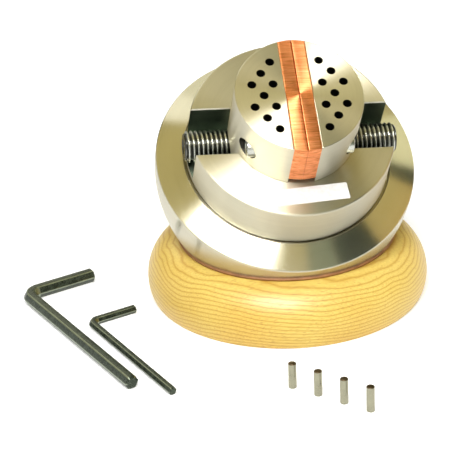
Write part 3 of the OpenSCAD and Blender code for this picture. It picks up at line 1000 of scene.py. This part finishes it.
wear_and_highlight_edges(large, worn_and_highlit_black, LARGE_KEY_AF)
wear_and_highlight_edges(small, worn_and_highlit_black, SMALL_KEY_AF)


def pins():
    """Four short pins with rounded ends, standing in a row."""
    profile = rounded([(0, 0, 0), (PIN_R, 0, 0.25), (PIN_R, PIN_LEN, 0.35), (0, PIN_LEN, 0)], 5)
    stand = []
    for i in range(4):
        at = Matrix.Translation((-1.6 + 8.9 * i, -81.4 - 6.2 * i, 0))
        stand.append(turned(f"pin_{i}", profile, at, 48))
    return gather(stand, "pins_standing")


dress(pins(), BENCH, "base", "hard_steel", nickel_with_painted_tops, "jaw_pins")


def nut():
    """Hexagon nut: a hexagon cut back by a cone at both faces, round its hole."""
    h0 = NUT_POCKET - BALL_R - BUSH_FLANGE - FIT_GAP - WASHER_T - NUT_H
    h1 = h0 + NUT_H

    def cut_back(near):
        return lambda t: np.minimum(hexagon(t, NUT_AF), NUT_AF / 2 - 0.1 + near * 1.8)

    rows = []
    for f in (0.0, 0.04, 0.08, 0.12, 0.88, 0.92, 0.96, 1.0):
        rows.append((h0 + NUT_H * f, cut_back(min(f, 1 - f) * NUT_H)))
    edge = 0.4
    rows += [(h1, lambda t: 0 * t + STUD_R + edge), (h1 - edge, lambda t: 0 * t + STUD_R)]
    rows += [(h0 + edge, lambda t: 0 * t + STUD_R), (h0, lambda t: 0 * t + STUD_R + edge)]
    return shaped("nut_chamfered", rows, None, 96, closed=True)


dress(nut(), TABLE, "head", "black_steel", black, "spindle_nut")

# solids whose shape is right keep it and take a finish
for node, mat in (
    ("leather_liner", hide),
    ("spindle_bush", bronze),
    ("race_lower", bearing_steel),
    ("race_upper", bearing_steel),
    ("bearing_balls", bearing_steel),
    ("bearing_cage", brass),
    ("spindle", screw_steel),
    ("spindle_washer", screw_steel),
    ("saddle_base", screw_steel),
    ("saddle_cap", screw_steel),
    ("saddle_screws", black),
):
    give(frame["nodes"][node], mat)


# ---------------------------------------------------------------- floor, light and camera
def floor():
    """A pale floor that shows white to the camera and to polished metal, and still takes
    the object's shadow."""
    mat, bsdf, add, put = new_material("pale floor")
    put(bsdf, "Base Color", (0.92, 0.92, 0.90, 1))
    put(bsdf, "Roughness", 0.9)
    put(bsdf, "Specular IOR Level", 0.1)
    size = 6.0
    mesh = bpy.data.meshes.new("floor")
    corners = [(-size, -size, 0), (size, -size, 0), (size, size, 0), (-size, size, 0)]
    mesh.from_pydata(corners, [], [(0, 1, 2, 3)])
    plane = bpy.data.objects.new("floor", mesh)
    bpy.context.scene.collection.objects.link(plane)
    mesh.materials.append(mat)
    path = add("ShaderNodeLightPath")
    seen = math_node(add, "MAXIMUM", path.outputs["Is Camera Ray"], path.outputs["Is Glossy Ray"])
    seen = math_node(add, "MAXIMUM", seen, path.outputs["Is Transmission Ray"])
    put(bsdf, "Emission Color", (1, 1, 0.985, 1))
    put(bsdf, "Emission Strength", math_node(add, "MULTIPLY", seen, 0.35))


floor()


def world():
    """White to the camera and to polished metal, and a soft even light elsewhere."""
    env = bpy.data.worlds.new("studio")
    bpy.context.scene.world = env
    env.use_nodes = True
    nodes, links = env.node_tree.nodes, env.node_tree.links
    back = next(n for n in nodes if n.type == "BACKGROUND")
    path = nodes.new("ShaderNodeLightPath")
    seen = nodes.new("ShaderNodeMath")
    seen.operation = "MAXIMUM"
    links.new(path.outputs["Is Camera Ray"], seen.inputs[0])
    links.new(path.outputs["Is Glossy Ray"], seen.inputs[1])
    scale = nodes.new("ShaderNodeMath")
    scale.operation = "MULTIPLY_ADD"
    links.new(seen.outputs[0], scale.inputs[0])
    scale.inputs[1].default_value = 0.5
    scale.inputs[2].default_value = 0.5
    back.inputs["Color"].default_value = (1, 1, 0.99, 1)
    links.new(scale.outputs[0], back.inputs["Strength"])


world()


def lamp(name, at, to, size, power, roll=0, shows=("diffuse", "glossy")):
    """A soft rectangular lamp that faces a point. It may light only matt surfaces, or
    show only in polished metal."""
    light = bpy.data.lights.new(name, "AREA")
    light.shape = "RECTANGLE"
    light.size, light.size_y = size
    light.energy = power
    thing = bpy.data.objects.new(name, light)
    thing.location = Vector(at)
    aim = (Vector(to) - Vector(at)).to_track_quat("-Z", "Y").to_matrix()
    thing.rotation_euler = (aim @ Matrix.Rotation(math.radians(roll), 3, "Z")).to_euler()
    thing.visible_camera = False
    thing.visible_diffuse = "diffuse" in shows
    thing.visible_glossy = "glossy" in shows
    bpy.context.scene.collection.objects.link(thing)


BALL_MIDDLE = (0, 0, 0.05)
KEY_SIZE = (0.56, 0.36)
lamp("key", (-0.13, -0.60, 0.925), BALL_MIDDLE, KEY_SIZE, 10.5, roll=-22)
lamp("key in metal", (-0.13, -0.60, 0.93), BALL_MIDDLE, KEY_SIZE, 10.0, roll=-22, shows=("glossy",))
lamp("fill", (0.95, -0.6, 0.5), BALL_MIDDLE, (0.5, 0.5), 2.0, shows=("diffuse",))


def card(name, left, right, colour, glow=0.0):
    """A card beside the lamps that only polished metal shows: a ribbon between its left
    and its right edge, each a list of as many points."""
    mat, bsdf, add, put = new_material(name)
    put(bsdf, "Base Color", (*colour, 1))
    put(bsdf, "Roughness", 0.9)
    put(bsdf, "Emission Color", (*colour, 1))
    put(bsdf, "Emission Strength", glow)
    mesh = bpy.data.meshes.new(name)
    mesh.from_pydata([*left, *right], [], grid_faces(2, len(left), around=False))
    mesh.materials.append(mat)
    thing = bpy.data.objects.new(name, mesh)
    thing.visible_camera = False
    thing.visible_diffuse = False
    thing.visible_shadow = False
    bpy.context.scene.collection.objects.link(thing)


# Edges of cards, three points each from high to low, in metres. The cone of the ball shows
# each of them close to the angle round its axis, in degrees, that it is listed under.
EDGES = {
    20: ((0.37, 0.11, 1.18), (0.76, 0.64, 0.75), (0.63, 1.04, 0.08)),
    110: ((0.23, 0.19, 1.45), (-0.10, 1.03, 1.05), (-0.14, 1.42, 0.15)),
    140: ((0.17, 0.13, 1.45), (-0.44, 0.74, 1.20), (-0.58, 1.24, 0.47)),
    157: ((0.15, 0.09, 1.45), (-0.60, 0.49, 1.26), (-0.89, 0.98, 0.61)),
    272: ((0.26, -0.08, 1.1), (0.37, -0.80, 0.74), (0.39, -1.07, 0.0)),
    286: ((0.29, -0.07, 1.1), (0.57, -0.69, 0.72), (0.73, -0.88, 0.0)),
    307: ((0.33, -0.04, 1.1), (0.81, -0.43, 0.70), (1.06, -0.42, 0.0)),
    341.5: ((0.37, 0.03, 1.1), (0.92, 0.10, 0.71), (1.06, 0.41, 0.12)),
    350: ((0.37, 0.05, 1.1), (0.89, 0.24, 0.71), (0.97, 0.59, 0.13)),
    351: ((0.39, 0.05, 1.18), (0.95, 0.26, 0.75), (1.03, 0.63, 0.13)),
}
DARK_GREEN = (0.03, 0.045, 0.025)
card("ceiling", ((-4, -4, 1.8), (4, -4, 1.8)), ((-4, 4, 1.8), (4, 4, 1.8)), (0.46, 0.39, 0.16), 1.0)
TAN = (0.52, 0.33, 0.09)
card("tan wall", ((1.9, -0.9, 0), (1.9, -0.9, 1.2)), ((1.9, 0.7, 0), (1.9, 0.7, 1.2)), TAN, 1.0)
card("dark wall", ((-1.6, 1.3, 0), (-1.6, 1.3, 1.6)), ((1.05, 1.3, 0), (1.05, 1.3, 1.6)), (0.03, 0.035, 0.02))
card("grey wedge", EDGES[272], EDGES[286], (0.16, 0.18, 0.12), 1.0)
card("dark wedge", EDGES[286], EDGES[307], DARK_GREEN)
card("dark strip", EDGES[341.5], EDGES[350], DARK_GREEN)
card("pale window", EDGES[351], EDGES[20], (0.66, 0.64, 0.42), 1.0)
card("white window", EDGES[157], EDGES[140], (0.95, 0.93, 0.80), 1.0)
card("pale window behind", EDGES[140], EDGES[110], (0.72, 0.70, 0.55), 1.0)


def camera():
    """The photograph's viewpoint, fitted to points of the photograph: it looks 25.7
    degrees down at the bench, a little to one side, through a long lens."""
    focal, down, roll = 168.685, 25.722, -2.153
    lens = bpy.data.cameras.new("camera")
    lens.sensor_width = 36.0
    lens.lens = focal
    lens.clip_start, lens.clip_end = 0.01, 50.0
    eye = bpy.data.objects.new("camera", lens)
    bpy.context.scene.collection.objects.link(eye)
    eye.matrix_world = (
        Matrix.Translation((-0.02344, -0.74378, 0.38451))
        @ Matrix.Rotation(math.radians(90 - down), 4, "X")
        @ Matrix.Rotation(math.radians(roll), 4, "Z")
    )
    bpy.context.scene.camera = eye


camera()
bpy.context.scene.view_settings.view_transform = "Standard"

bpy.context.view_layer.update()
